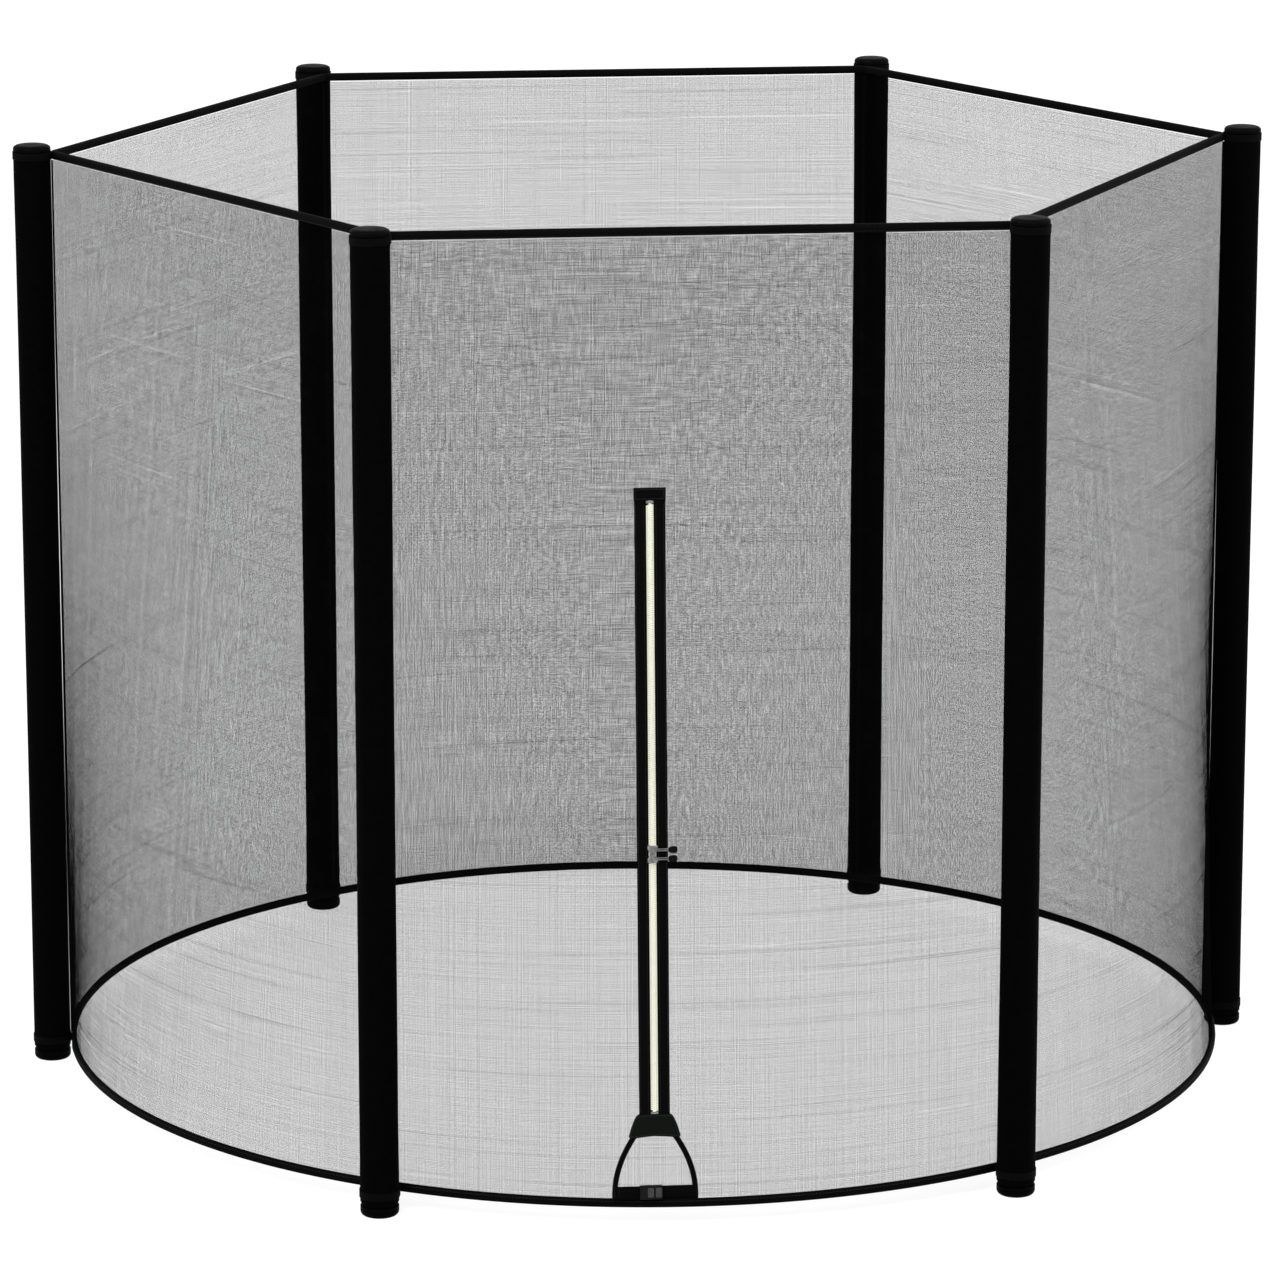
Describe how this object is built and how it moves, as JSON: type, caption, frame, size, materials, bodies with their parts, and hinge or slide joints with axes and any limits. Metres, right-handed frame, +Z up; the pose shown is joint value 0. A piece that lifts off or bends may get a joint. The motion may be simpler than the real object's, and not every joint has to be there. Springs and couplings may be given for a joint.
{
  "type": "trampoline safety enclosure",
  "caption": "Round trampoline enclosure: foam-sleeved steel poles hold a mesh net between a top rope and a bottom hoop, with a zipped door and a buckled strap.",
  "frame": {"origin": "middle of the ring of poles, on the ground plane under the feet", "axes": "+Z up; -Y towards the front wall with the zipped door; +X to the right of a person who stands outside and faces the door"},
  "size_m": [2.592, 2.439, 1.95],
  "materials": {
    "galvanised_tube": "galvanised, semi-matt",
    "sleeve": "coated woven cover over foam, satin",
    "moulded_plastic": "moulded, semi-matt",
    "webbing": "woven webbing, matt",
    "net": "knitted mesh, matt",
    "zip_tape": "woven tape, matt",
    "zip_teeth": "moulded, semi-matt",
    "slider_metal": "cast, satin",
    "pull_plastic": "moulded, semi-matt",
    "patch": "coated cloth, matt",
    "buckle": "moulded, semi-matt"
  },
  "bodies": {
    "enclosure": {"lower_tube_right": "galvanised_tube", "upper_tube_right": "galvanised_tube", "foam_sleeve_right": "sleeve", "lower_tube_back_right": "galvanised_tube", "upper_tube_back_right": "galvanised_tube", "foam_sleeve_back_right": "sleeve", "lower_tube_back_left": "galvanised_tube", "upper_tube_back_left": "galvanised_tube", "foam_sleeve_back_left": "sleeve", "lower_tube_left": "galvanised_tube", "upper_tube_left": "galvanised_tube", "foam_sleeve_left": "sleeve", "lower_tube_front_left": "galvanised_tube", "upper_tube_front_left": "galvanised_tube", "foam_sleeve_front_left": "sleeve", "lower_tube_front_right": "galvanised_tube", "upper_tube_front_right": "galvanised_tube", "foam_sleeve_front_right": "sleeve", "pole_feet": "moulded_plastic", "pole_caps": "moulded_plastic", "top_loops": "webbing", "bottom_loops": "webbing", "net_back_right": "net", "top_rope_back_right": "webbing", "hoop_back_right": "webbing", "net_back": "net", "top_rope_back": "webbing", "hoop_back": "webbing", "net_back_left": "net", "top_rope_back_left": "webbing", "hoop_back_left": "webbing", "net_front_left": "net", "top_rope_front_left": "webbing", "hoop_front_left": "webbing", "net_front": "net", "top_rope_front": "webbing", "hoop_front": "webbing", "net_front_right": "net", "top_rope_front_right": "webbing", "hoop_front_right": "webbing", "zip_tape_left": "zip_tape", "zip_teeth_left": "zip_teeth", "strap_left": "webbing", "zip_tape_right": "zip_tape", "zip_teeth_right": "zip_teeth", "strap_right": "webbing", "zip_stops": "slider_metal", "top_patch": "patch", "bottom_patch": "patch", "strap_loop": "webbing", "buckle_socket": "buckle"},
    "upper_slider": {"upper_slider": "slider_metal"},
    "upper_pull": {"upper_pull": "pull_plastic"},
    "lower_slider": {"lower_slider": "slider_metal"},
    "lower_pull": {"lower_pull": "pull_plastic"},
    "buckle_plug": {"buckle_plug": "buckle"}
  },
  "joints": [
    {"name": "upper_slider_run", "type": "slide", "parent": "enclosure", "child": "upper_slider", "axis": [0, 0.084, 0.9965], "range_m": [0, 0.662]},
    {"name": "upper_pull_turn", "type": "hinge", "parent": "upper_slider", "child": "upper_pull", "pos_m": [-0.1, -1.15887, 0.74184], "axis": [0, -0.084, -0.9965], "range_deg": [0, 180]},
    {"name": "lower_slider_run", "type": "slide", "parent": "enclosure", "child": "lower_slider", "axis": [0, -0.084, -0.9965], "range_m": [0, 0.489]},
    {"name": "lower_pull_turn", "type": "hinge", "parent": "lower_slider", "child": "lower_pull", "pos_m": [-0.1, -1.16033, 0.7245], "axis": [0, -0.084, -0.9965], "range_deg": [0, 180]},
    {"name": "buckle_release", "type": "slide", "parent": "enclosure", "child": "buckle_plug", "axis": [1, 0, 0], "range_m": [0, 0.022]}
  ]
}
